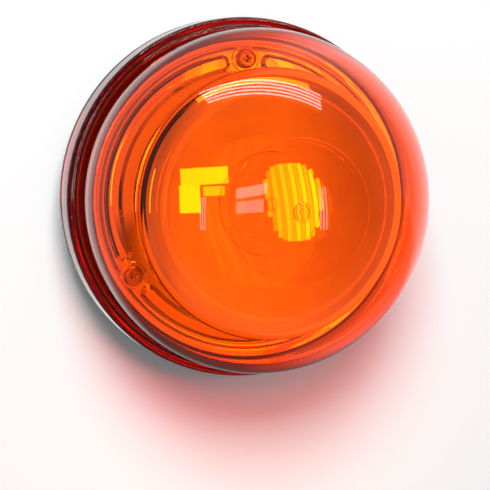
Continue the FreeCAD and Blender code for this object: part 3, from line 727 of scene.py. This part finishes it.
@dataclass
class LensDome:
    """Amber lens: threaded skirt, drafted wall and dome, with a raised insert and gate on its crown."""

    rim: float = 70.0 * MM
    bottom: float = 22.3 * MM
    chamfer: float = 0.8 * MM
    skirt_top: float = 36.0 * MM
    skirt_edge: float = 2.0 * MM
    bore: float = 66.8 * MM
    lead_in: Point = (0.6 * MM, 1.0 * MM)
    seat: float = 33.0 * MM
    thickness: float = 3.0 * MM
    wall_foot: float = 66.3 * MM
    fillet: float = 1.5 * MM
    draft: float = math.radians(1.7)
    shoulder: float = 60.7 * MM
    crown: float = 104.0 * MM
    top: float = 113.6 * MM
    insert: float = 26.0 * MM
    insert_step: float = 0.25 * MM
    gate_rings: tuple[float, float, float] = (3.4 * MM, 2.3 * MM, 1.2 * MM)
    gate_height: float = 0.3 * MM
    step_slope: float = 0.11 * MM
    thread_low: float = 23.6 * MM
    thread_high: float = 31.6 * MM
    thread_lead: float = 12.0 * MM
    thread_depth: float = 0.34 * MM
    thread_root: float = 1.6 * MM
    thread_crest: float = 0.8 * MM
    starts: tuple[float, ...] = (80.0, 200.0, 320.0)
    run_pitch: float = 5.0
    run_share: float = 0.6
    bore_gap: float = 0.01 * MM
    spin_steps: int = 288
    crown_steps: int = 8
    insert_steps: int = 14
    dome_steps: int = 72
    wall_steps: int = 8
    inner_wall_steps: int = 10
    fillet_steps: int = 8
    edge_steps: int = 10
    skirt_steps: int = 6
    bore_steps: int = 34

    def __post_init__(self) -> None:
        """Find the centre of the shoulder arc, tangent to the wall and to the crown."""
        self.foot = self.skirt_top + self.fillet
        self.crown_centre = self.top - self.crown
        s, c = math.sin(self.draft), math.cos(self.draft)
        reach = self.wall_foot * c + self.foot * s - self.shoulder
        qa = (s / c) ** 2 + 1.0
        qb = -2.0 * reach * s / c ** 2 - 2.0 * self.crown_centre
        qc = (reach / c) ** 2 + self.crown_centre ** 2 - (self.crown - self.shoulder) ** 2
        z = (-qb + math.sqrt(qb * qb - 4.0 * qa * qc)) / (2.0 * qa)
        self.centre = ((reach - z * s) / c, z)
        self.blend = math.atan2(z - self.crown_centre, self.centre[0])

    def shoulder_angle(self, r: float, raised: float) -> float:
        """Angle on the shoulder arc at a radius from the axis."""
        return math.acos((r - self.centre[0]) / (self.shoulder + raised))

    def crown_section(self) -> Lathe:
        """Draw the gate, the raised insert and the dome down to the wall.

        Returns:
            The lathe at the upper end of the wall.
        """
        rim, groove, nub = self.gate_rings
        slope = self.step_slope
        raised = self.crown + self.insert_step
        foot = rim + slope
        face = self.crown_centre + math.sqrt(raised ** 2 - foot ** 2)
        top = face + self.gate_height
        lathe = Lathe("amber_lens", 0.0, top)
        for point in ((nub - slope, top), (nub + slope, face), (groove - slope, face),
                      (groove + slope, top), (rim - slope, top), (foot, face)):
            lathe.line(*point)
        lathe.arc((0.0, self.crown_centre), self.blend - math.acos(foot / raised), self.crown_steps)
        step_angle = self.shoulder_angle(self.insert - slope, self.insert_step)
        lathe.arc(self.centre, step_angle - self.blend, self.insert_steps)
        low_angle = self.shoulder_angle(self.insert + slope, 0.0)
        lathe.line(self.insert + slope, self.centre[1] + self.shoulder * math.sin(low_angle))
        lathe.arc(self.centre, self.draft - low_angle, self.dome_steps)
        return lathe

    def lower_section(self, lathe: Lathe) -> None:
        """Draw the wall, the skirt, its bore, the seal seat and the inside up to the axis.

        Args:
            lathe: lathe at the upper end of the wall.
        """
        edge = self.rim - self.skirt_edge
        lathe.line(self.wall_foot, self.foot, self.wall_steps)
        lathe.arc((self.wall_foot + self.fillet, self.foot), QUARTER_TURN, self.fillet_steps)
        lathe.line(edge, self.skirt_top)
        lathe.arc((edge, self.skirt_top - self.skirt_edge), -QUARTER_TURN, self.edge_steps)
        lathe.line(self.rim, self.bottom + self.chamfer, self.skirt_steps)
        lathe.line(self.rim - self.chamfer, self.bottom)
        lathe.line(self.bore + self.lead_in[0], self.bottom)
        lathe.line(self.bore, self.bottom + self.lead_in[1])
        lathe.line(self.bore, self.seat, self.bore_steps)
        inner = self.shoulder - self.thickness
        wall_r = self.centre[0] + inner * math.cos(self.draft)
        wall_z = self.centre[1] + inner * math.sin(self.draft)
        lathe.line(wall_r + (wall_z - self.seat) * math.tan(self.draft), self.seat)
        lathe.line(wall_r, wall_z, self.inner_wall_steps)
        lathe.arc(self.centre, self.blend - self.draft, self.dome_steps)
        lathe.arc((0.0, self.crown_centre), QUARTER_TURN - self.blend, self.crown_steps)

    def thread(self, piece: Piece) -> None:
        """Raise the thread of the bore in short runs.

        Args:
            piece: turned lens.
        """
        pitch = self.thread_lead / len(self.starts)
        for vertex in piece.data.vertices:
            r = math.hypot(vertex.co.x, vertex.co.y)
            if abs(r - self.bore) > self.bore_gap or not self.thread_low < vertex.co.z < self.thread_high:
                continue
            azimuth = math.degrees(math.atan2(vertex.co.y, vertex.co.x))
            along = (azimuth % self.run_pitch) / self.run_pitch
            if along > self.run_share:
                continue
            climb = vertex.co.z - self.thread_low - self.thread_lead * (azimuth - self.starts[0]) / TURN_DEG
            off = abs((climb + 0.5 * pitch) % pitch - 0.5 * pitch)
            slope = (0.5 * self.thread_root - off) / (0.5 * (self.thread_root - self.thread_crest))
            inward = self.thread_depth * min(1.0, max(0.0, slope))
            vertex.co.x *= (r - inward) / r
            vertex.co.y *= (r - inward) / r

    def build(self) -> None:
        """Turn the lens, raise its thread and dress it."""
        lathe = self.crown_section()
        self.lower_section(lathe)
        lens = lathe.spin(self.spin_steps)
        self.thread(lens)
        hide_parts("lens_dome")
        place(lens, LENS_AMBER, Body.LENS, Slot.LENS)


@dataclass(frozen=True)
class MirrorCap:
    """Convex mirror with a rounded side and a rolled edge, turned in one piece."""

    top: float = 89.2 * MM
    face: float = 135.0 * MM
    turn_at: float = 40.3 * MM
    side: float = 17.5 * MM
    line_at: float = 49.4 * MM
    edge: float = 50.2 * MM
    edge_height: float = 73.0 * MM
    chamfer: float = 0.6 * MM
    rim: float = 69.05 * MM
    thickness: float = 2.4 * MM
    spigot: float = 47.6 * MM
    spigot_height: float = 2.0 * MM
    spigot_taper: float = 1.6
    spigot_land: float = 1.4 * MM
    under_inset: float = 3.0 * MM
    under_wall: Point = (0.4 * MM, 4.0 * MM)
    spin_steps: int = 288
    face_steps: int = 24
    side_steps: int = 40
    roll_steps: int = 18
    under_steps: int = 12

    def band(self, lathe: Lathe, side_centre: Point) -> None:
        """Draw the roll of the edge, tangent to the rounded side, and the upright band under it.

        Args:
            lathe: lathe at the lower end of the rounded side.
            side_centre: centre of the rounded side.
        """
        start = Vector(lathe.at)
        end = Vector((self.edge, self.edge_height))
        inward = (Vector(side_centre) - start).normalized()
        chord = end - start
        centre = start + inward * chord.length_squared / (2.0 * chord.dot(inward))
        first, last = start - centre, end - centre
        turn = math.atan2(last.y, last.x) - math.atan2(first.y, first.x)
        lathe.arc(tuple(centre), turn, self.roll_steps)
        lathe.line(self.edge, self.rim + self.chamfer)

    def build(self) -> None:
        """Turn the cap and dress it."""
        face_centre = (0.0, self.top - self.face)
        turn = math.acos(self.turn_at / self.face)
        reach = self.face - self.side
        side_centre = (reach * math.cos(turn), face_centre[1] + reach * math.sin(turn))
        line_angle = math.acos((self.line_at - side_centre[0]) / self.side)
        lathe = Lathe("mirror_face", 0.0, self.top)
        lathe.arc(face_centre, turn - QUARTER_TURN, self.face_steps)
        lathe.arc(side_centre, line_angle - turn, self.side_steps)
        self.band(lathe, side_centre)
        low = self.rim - self.spigot_height
        inner = self.spigot - self.spigot_taper * self.spigot_height
        under_side = self.side - self.thickness
        under_r = self.line_at - self.under_inset
        under_angle = math.acos((under_r - side_centre[0]) / under_side)
        under_z = side_centre[1] + under_side * math.sin(under_angle)
        wall_r, wall_z = under_r - self.under_wall[0], under_z - self.under_wall[1]
        for point in ((self.edge - self.chamfer, self.rim), (self.spigot, self.rim), (inner, low),
                      (inner - self.spigot_land, low), (wall_r, wall_z), (under_r, under_z)):
            lathe.line(*point)
        lathe.arc(side_centre, turn - under_angle, self.under_steps)
        lathe.arc(face_centre, QUARTER_TURN - turn, self.under_steps)
        cap = lathe.spin(self.spin_steps)
        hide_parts("mirror_cap")
        place(cap, MIRROR, Body.BASE, Slot.MIRROR)


@dataclass(frozen=True)
class RingScrews:
    """Pan-head cross-recess screws that hold the reflector ring."""

    circle: float = 54.4 * MM
    azimuths: tuple[float, ...] = (90.0, 210.0, 330.0)
    seat: float = 42.1 * MM
    head_radius: float = 4.0 * MM
    head_height: float = 2.7 * MM
    head_sides: int = 64
    crown: float = 1.45 * MM
    crown_steps: int = 8
    shank_radius: float = 1.88 * MM
    shank_length: float = 12.6 * MM
    tip_chamfer: float = 0.5 * MM
    recess_length: float = 4.2 * MM
    recess_width: float = 0.95 * MM
    recess_depth: float = 1.7 * MM
    recess_taper: float = 0.45
    edge_break: float = 0.08 * MM
    sharp_angle: float = 40.0
    smooth_angle: float = 30.0
    top_gap: float = 0.001 * MM
    downward: float = -0.9

    def head(self) -> Piece:
        """Model the pan head and shank on the axis.

        Returns:
            The blank, without its recess.
        """
        Bench.clear()
        bpy.ops.mesh.primitive_cylinder_add(vertices=self.head_sides, radius=self.head_radius,
                                            depth=self.head_height,
                                            location=(0.0, 0.0, self.seat + 0.5 * self.head_height))
        blank = bpy.context.object
        Bench.fix()
        Bench.mode("EDIT")
        top = self.seat + self.head_height
        Bench.pick(blank, lambda e: all(v.co.z > top - self.top_gap for v in e.verts), "edges")
        bpy.ops.mesh.bevel(offset=self.crown, segments=self.crown_steps, profile=0.5, affect="EDGES")
        bpy.ops.mesh.select_mode(type="FACE")
        Bench.pick(blank, lambda f: f.normal.z < self.downward, "faces")
        bpy.ops.mesh.inset(thickness=self.head_radius - self.shank_radius, depth=0.0)
        bpy.ops.mesh.extrude_region_move(TRANSFORM_OT_translate={"value": (0.0, 0.0, -self.shank_length)})
        bpy.ops.mesh.bevel(offset=self.tip_chamfer, segments=1, affect="EDGES")
        bpy.ops.mesh.select_mode(type="VERT")
        Bench.mode("OBJECT")
        return blank

    def cutter(self) -> Piece:
        """Model the tapered cross that sinks the recess.

        Returns:
            The cutter.
        """
        bars = []
        top = self.seat + self.head_height
        taper = (self.recess_taper, self.recess_taper, 1.0)
        for size in ((self.recess_length, self.recess_width), (self.recess_width, self.recess_length)):
            Bench.clear()
            bpy.ops.mesh.primitive_cube_add(size=1.0, location=(0.0, 0.0, top),
                                            scale=(*size, 2.0 * self.recess_depth))
            bar = bpy.context.object
            Bench.fix()
            Bench.mode("EDIT")
            Bench.pick(bar, lambda v: v.co.z < top)
            bpy.ops.transform.resize(value=taper, center_override=(0.0, 0.0, top))
            Bench.mode("OBJECT")
            bars.append(bar)
        Bench.apply(bars[0], "BOOLEAN", object=bars[1], operation="UNION", solver="EXACT")
        bpy.data.objects.remove(bars[1])
        return bars[0]

    def build(self) -> None:
        """Model one screw and copy it to its three places."""
        screw = self.head()
        cutter = self.cutter()
        Bench.apply(screw, "BOOLEAN", object=cutter, operation="DIFFERENCE", solver="EXACT")
        bpy.data.objects.remove(cutter)
        Bench.apply(screw, "BEVEL", width=self.edge_break, segments=2, limit_method="ANGLE",
                    angle_limit=math.radians(self.sharp_angle))
        Bench.settle(screw, self.smooth_angle)
        screw.data.transform(Matrix.Translation((self.circle, 0.0, 0.0)))
        screws = Bench.repeat(screw, [(azimuth, 0.0) for azimuth in self.azimuths], "cross_recess_screws")
        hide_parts("ring_screws")
        place(screws, PLATED_STEEL, Body.BASE, Slot.STEEL)


class PlainSolids:
    """Solids that keep their own shape and get a finish."""

    def build(self) -> None:
        """Dress every solid that has a finish of its own."""
        for name, finish in NODE_FINISH.items():
            dress(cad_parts[name], finish)
            LOG.info("%s dressed in %s", name, finish.name)


# Stage

@dataclass(frozen=True)
class Floor:
    """Pale floor that keeps the shadow, and the painted levels at which lens and mirrors show it: painted
    shade near the beacon, a painted dark patch to the left and painted light to the right.
    """

    size: float = 8.0
    drop: float = 0.4 * MM
    colour: Colour = (0.97, 0.97, 0.97)
    weave: float = 3.0
    weave_low: float = 0.98
    lift: float = 0.05
    level: float = 1.2
    far: Ramp = Ramp(0.25, 0.8)
    # With level, these ramps set the painted levels at which lens and mirrors show the floor: painted shade
    # near the beacon and to the front, a painted dark patch to the left and painted light to the right.
    sides: Ramp = Ramp(0.03, 0.08, 0.28, 0.95)
    beside: Ramp = Ramp(0.085, 0.1)
    around: Ramp = Ramp(0.14, 0.3, 1.0, 0.4)
    front: Ramp = Ramp(-0.08, -0.05, 0.3, 1.0)
    deep: Ramp = Ramp(0.0, 0.07, 0.2, 1.2)
    shade: Ramp = Ramp(-0.075, -0.03)
    near: Ramp = Ramp(0.17, 0.25)
    under: Ramp = Ramp(0.08, 0.105, 0.4, 1.0)
    patch: Ramp = Ramp(-0.32, -0.24, 0.03, 1.0)
    patch_end: Ramp = Ramp(-0.16, -0.08)
    right: Ramp = Ramp(0.06, 0.14, 1.0, 1.6)
    rim: Ramp = Ramp(0.1, 0.17, 0.25, 1.0)
    rim_end: Ramp = Ramp(-0.07, -0.02)
    rim_slant: float = 0.6

    def shown(self, p: Paint, inside: Socket, reach: Socket) -> Socket:
        """Painted level of the floor in the outer surface of the beacon, or through the lens and in the
        mirrors behind it.

        Args:
            p: node tree of the floor.
            inside: value of 1 for rays that have come through the lens.
            reach: distance from the axis.

        Returns:
            The painted level.
        """
        x, y, _ = p.add("ShaderNodeSeparateXYZ", {0: p.place}).outputs
        # Painted reflection in the outer surface: beyond the rim darker to the left than to the right, fading
        # farther out, with a painted shadow to the front (-Y).
        beside = p.choose(p.ramp(reach, self.beside), 1.0, p.ramp(x, self.sides))
        haze_and_painted_reflection = p.product(beside, p.ramp(reach, self.around), p.ramp(y, self.front))
        # Painted shadow in what lens and mirrors show: darker near the beacon to the front (-Y), most on the
        # left, and darker still right by the rim (under).
        shade = p.choose(p.ramp(y, self.shade), p.ramp(x, self.deep), self.level)
        near = p.choose(p.ramp(reach, self.near), shade, self.level)
        # Painted dark patch far to the left, which the mirror shows as a dark crescent.
        dark = p.choose(p.ramp(y, self.patch_end), 1.0, p.ramp(x, self.patch))
        # Painted shade near the rim on the left and top, and painted light on the right, up to 1.6 times the
        # level.
        slant = p.math("SUBTRACT", x, p.product(y, self.rim_slant))
        rim = p.choose(p.ramp(slant, self.rim_end), p.ramp(reach, self.rim), 1.0)
        mirrored = p.product(near, p.ramp(reach, self.under), dark, p.ramp(x, self.right), rim)
        return p.choose(inside, haze_and_painted_reflection, mirrored)

    def paint(self) -> Material:
        """Build the finish.

        Returns:
            The material.
        """
        p = Paint("pale_floor")
        path = p.add("ShaderNodeLightPath")
        camera = path.outputs["Is Camera Ray"]
        mirror = p.mirror_rays(path)
        reach = p.add("ShaderNodeVectorMath", {0: p.place}, operation="LENGTH").outputs["Value"]
        weave = p.spread(p.noise(self.weave, FINE_NOISE), self.weave_low, 1.0)
        cloth = p.add("ShaderNodeBsdfDiffuse", {"Color": p.blend(weave, BLACK, self.colour)})
        lift = p.add("ShaderNodeEmission", {"Strength": p.product(camera, self.lift)})
        lit = p.add("ShaderNodeAddShader", {0: cloth.outputs[0], 1: lift.outputs[0]})
        # Lens and mirrors see a painted level of the floor instead of its lit colour; far off, the camera
        # sees it as an even backdrop.
        level = p.choose(mirror, 1.0, self.shown(p, p.inside_rays(path), reach))
        backdrop_and_painted_reflection = p.add("ShaderNodeEmission", {"Strength": level})
        far = p.product(p.ramp(reach, self.far), camera)
        p.mix(p.choose(mirror, far, 1.0), lit, backdrop_and_painted_reflection)
        return p.material

    def build(self) -> None:
        """Make the floor."""
        Bench.clear()
        bpy.ops.mesh.primitive_plane_add(size=self.size, location=(0.0, 0.0, -self.drop))
        floor = bpy.context.object
        floor.name = "floor"
        Bench.fix()
        floor.data.materials.append(self.paint())


@dataclass(frozen=True)
class Room:
    """Even light, and the room that mirrors and glass show."""

    light: float = 0.2
    cloud: float = 2.2
    cloud_levels: Point = (0.86, 1.14)
    rise: Ramp = Ramp(-0.9, 0.6, 1.44, 1.04)
    flanks: Ramp = Ramp(0.3, 0.75, 1.0, 0.6)
    patch: Ramp = Ramp(0.08, 0.12, 0.03, 1.0)
    patch_side: Ramp = Ramp(-0.6, -0.4, 1.0, 0.0)
    patch_end: Ramp = Ramp(-0.35, -0.2)
    outside: Ramp = Ramp(0.15, 0.5, 0.22, 0.08)

    def build(self) -> None:
        """Make the world."""
        world = bpy.data.worlds.new("studio")
        bpy.context.scene.world = world
        world.use_nodes = True
        g = Graph(world.node_tree)
        path = g.add("ShaderNodeLightPath")
        camera = path.outputs["Is Camera Ray"]
        way = g.coordinates.outputs["Generated"]
        x, y, z = g.add("ShaderNodeSeparateXYZ", {0: way}).outputs
        cloud = g.spread(g.noise(self.cloud, place=way), *self.cloud_levels)
        flanks = g.ramp(g.math("ABSOLUTE", x), self.flanks)
        patch = g.product(g.ramp(x, self.patch_side), g.ramp(y, self.patch_end))
        dark = g.choose(patch, 1.0, g.ramp(z, self.patch))
        inside = g.product(cloud, g.ramp(y, self.rise), flanks, dark)
        mirrored = g.choose(g.inside_rays(path), g.ramp(z, self.outside), inside)
        shown = g.math("MAXIMUM", camera, g.mirror_rays(path))
        level = g.choose(shown, self.light, g.choose(camera, mirrored, 1.0))
        light = g.add("ShaderNodeBackground", {"Color": WHITE, "Strength": level})
        g.add("ShaderNodeOutputWorld", {"Surface": light.outputs[0]})


class Seen(Enum):
    """Where a lamp shows: in outer surfaces, in the mirrors behind the lens, in both or in neither."""

    OUTSIDE = "outside"
    INSIDE = "inside"
    BOTH = "both"
    NOWHERE = "nowhere"


@dataclass(frozen=True)
class Lamp:
    """Soft rectangular lamp, placed by the direction it shines from."""

    name: str
    towards: Direction
    size: Point
    radiance: float
    seen: Seen
    distance: float = 1.0
    upright: bool = False
    roll: float = 0.0
    aim: Direction = (0.0, 0.0, 0.08)

    def build(self) -> None:
        """Make the lamp and aim it at the beacon."""
        data = bpy.data.lights.new(self.name, "AREA")
        data.shape = "RECTANGLE"
        data.size, data.size_y = self.size
        data.energy = self.radiance * math.pi * self.size[0] * self.size[1]
        lamp = bpy.data.objects.new(self.name, data)
        bpy.context.scene.collection.objects.link(lamp)
        back = Vector(self.towards).normalized()
        across = Vector((0.0, 0.0, 1.0)).cross(back) if self.upright else Vector((1.0, 0.0, 0.0))
        across = (across - back * across.dot(back)).normalized()
        across = Matrix.Rotation(self.roll, 3, back) @ across
        turned = Matrix((across, back.cross(across), back)).transposed().to_4x4()
        lamp.matrix_world = Matrix.Translation(Vector(self.aim) + back * self.distance) @ turned
        lamp.visible_camera = False
        lamp.visible_glossy = self.seen in (Seen.OUTSIDE, Seen.BOTH)
        lamp.visible_transmission = self.seen in (Seen.INSIDE, Seen.BOTH)
        lamp.visible_diffuse = self.seen is Seen.NOWHERE


@dataclass(frozen=True)
class StripRow:
    """Row of thin strips that show in outer surfaces, in even steps along X."""

    name: str
    first: Direction
    step: float
    size: Point
    radiance: float
    count: int = 3

    def lamps(self) -> list[Lamp]:
        """Lamps of the row."""
        x, y, z = self.first
        return [Lamp(f"{self.name}_{i}", (x + self.step * i, y, z), self.size, self.radiance, Seen.OUTSIDE)
                for i in range(self.count)]


@dataclass(frozen=True)
class TubeFan:
    """Upright tubes side by side, bright and dim in turn, that fill a rounded outline in the mirror."""

    first: float = 0.178
    step: float = 0.0282
    count: int = 12
    width: float = 0.0275
    middle: float = 0.33
    half: float = 0.155
    corner: int = 4
    bottom: float = -0.29
    bottom_rise: float = 0.17
    top: float = 0.19
    top_fall: float = 0.1
    radiance: float = 4.2
    gain: float = 0.65
    dim: float = 0.55
    roll: float = math.radians(6.0)

    def lamps(self) -> list[Lamp]:
        """Lamps of the fan.

        Returns:
            The lamps from left to right.
        """
        made = []
        for i in range(self.count):
            x = self.first + self.step * i
            bow = ((x - self.middle) / self.half) ** self.corner
            low, high = self.bottom + self.bottom_rise * bow, self.top - self.top_fall * bow
            radiance = (self.radiance + self.gain * i) * (self.dim if i % 2 else 1.0)
            way = (x, 0.5 * (low + high), math.sqrt(1.0 - x * x))
            size = (self.width, high - low)
            made.append(Lamp(f"tube_{i}", way, size, radiance, Seen.INSIDE, roll=self.roll))
        return made


@dataclass(frozen=True)
class TubeBank:
    """Long tubes over one another, beyond the far side of the beacon."""

    first_deg: float = 6.2
    step_deg: float = 2.95
    count: int = 5
    aside: float = 0.05
    size: Point = (0.98, 0.022)
    radiance: float = 8.0
    distance: float = 0.85
    roll: float = math.radians(-14.0)

    def lamps(self) -> list[Lamp]:
        """Lamps of the bank.

        Returns:
            The lamps from the lowest up.
        """
        made = []
        for i in range(self.count):
            rise = math.radians(self.first_deg + self.step_deg * i)
            way = (self.aside, math.cos(rise), math.sin(rise))
            made.append(Lamp(f"bank_{i}", way, self.size, self.radiance, Seen.BOTH, self.distance,
                             upright=True, roll=self.roll))
        return made


SINGLE_LAMPS = (
    Lamp("window_top", (-0.215, 0.136, 0.967), (0.3, 0.105), 7.5, Seen.INSIDE),
    Lamp("window_left", (-0.309, -0.005, 0.951), (0.13, 0.172), 8.5, Seen.INSIDE),
    Lamp("window_right", (-0.16, 0.042, 0.985), (0.135, 0.06), 5.0, Seen.INSIDE),
    Lamp("pane_top", (-0.19, 0.13, 0.972), (0.35, 0.1), 3.2, Seen.OUTSIDE),
    Lamp("pane_low", (-0.2, -0.01, 0.98), (0.33, 0.11), 2.6, Seen.OUTSIDE),
    Lamp("left_glint", (-0.95, 0.12, 0.28), (0.42, 0.04), 7.0, Seen.INSIDE, upright=True),
    Lamp("key", (-0.16, 0.5, 0.85), (0.45, 0.45), 24.0, Seen.NOWHERE, distance=1.2),
    Lamp("lens_glow", (0.0, 1.0, 1.0), (0.05, 0.02), 6.0, Seen.NOWHERE, distance=0.0,
         aim=(0.008, -0.056, 0.062)),
)
SIDE_STRIPS = StripRow("side_strip", (-0.72, -0.06, 0.7), 0.037, (0.012, 0.33), 4.0)
FAR_STRIPS = StripRow("far_strip", (0.4, -0.06, 0.9), 0.025, (0.008, 0.3), 5.0)


@dataclass(frozen=True)
class Camera:
    """Camera at the place that the photograph was taken from."""

    focal_px: float = 2022.8
    image_px: float = 490.0
    sensor_mm: float = 36.0
    clip: Point = (0.05, 50.0)
    distance: float = 0.8
    tilt: float = math.radians(15.917)
    lean: float = math.radians(18.627)
    turn: float = math.radians(3.07)
    offset: Point = (-3.50 * MM, 19.52 * MM)
    pivot: Direction = (0.0, 0.0, 22.0 * MM)

    def build(self) -> None:
        """Make the camera and point it."""
        st, ct = math.sin(self.tilt), math.cos(self.tilt)
        axis = Vector((st * math.cos(self.lean), -st * math.sin(self.lean), ct))
        right = Vector((0.0, 1.0, 0.0)).cross(axis).normalized()
        up = axis.cross(right)
        to_camera = Matrix((right, up, axis)).transposed() @ Matrix.Rotation(self.turn, 3, "Z")
        to_world = to_camera.transposed()
        data = bpy.data.cameras.new("camera")
        data.sensor_width = self.sensor_mm
        data.lens = self.focal_px / self.image_px * self.sensor_mm
        data.clip_start, data.clip_end = self.clip
        camera = bpy.data.objects.new("camera", data)
        bpy.context.scene.collection.objects.link(camera)
        eye = Vector(self.pivot) - to_world @ Vector((*self.offset, -self.distance))
        camera.matrix_world = Matrix.Translation(eye) @ to_world.to_4x4()
        bpy.context.scene.camera = camera


class Stage:
    """Camera, floor, room light and lamps."""

    def build(self) -> None:
        """Make the whole stage."""
        bpy.context.scene.view_settings.view_transform = "Standard"
        rows = (SIDE_STRIPS, FAR_STRIPS, TubeFan(), TubeBank())
        lamps = [lamp for row in rows for lamp in row.lamps()]
        for part in (Camera(), Floor(), Room(), *SINGLE_LAMPS, *lamps):
            part.build()


def main() -> None:
    """Build the stage and the sub-assemblies in order."""
    for assembly in (Stage(), PlainSolids(), BaseThread(), InsertThreads(), MirrorCap(), RingScrews(),
                     LensDome()):
        assembly.build()


if __name__ == "__main__":
    main()
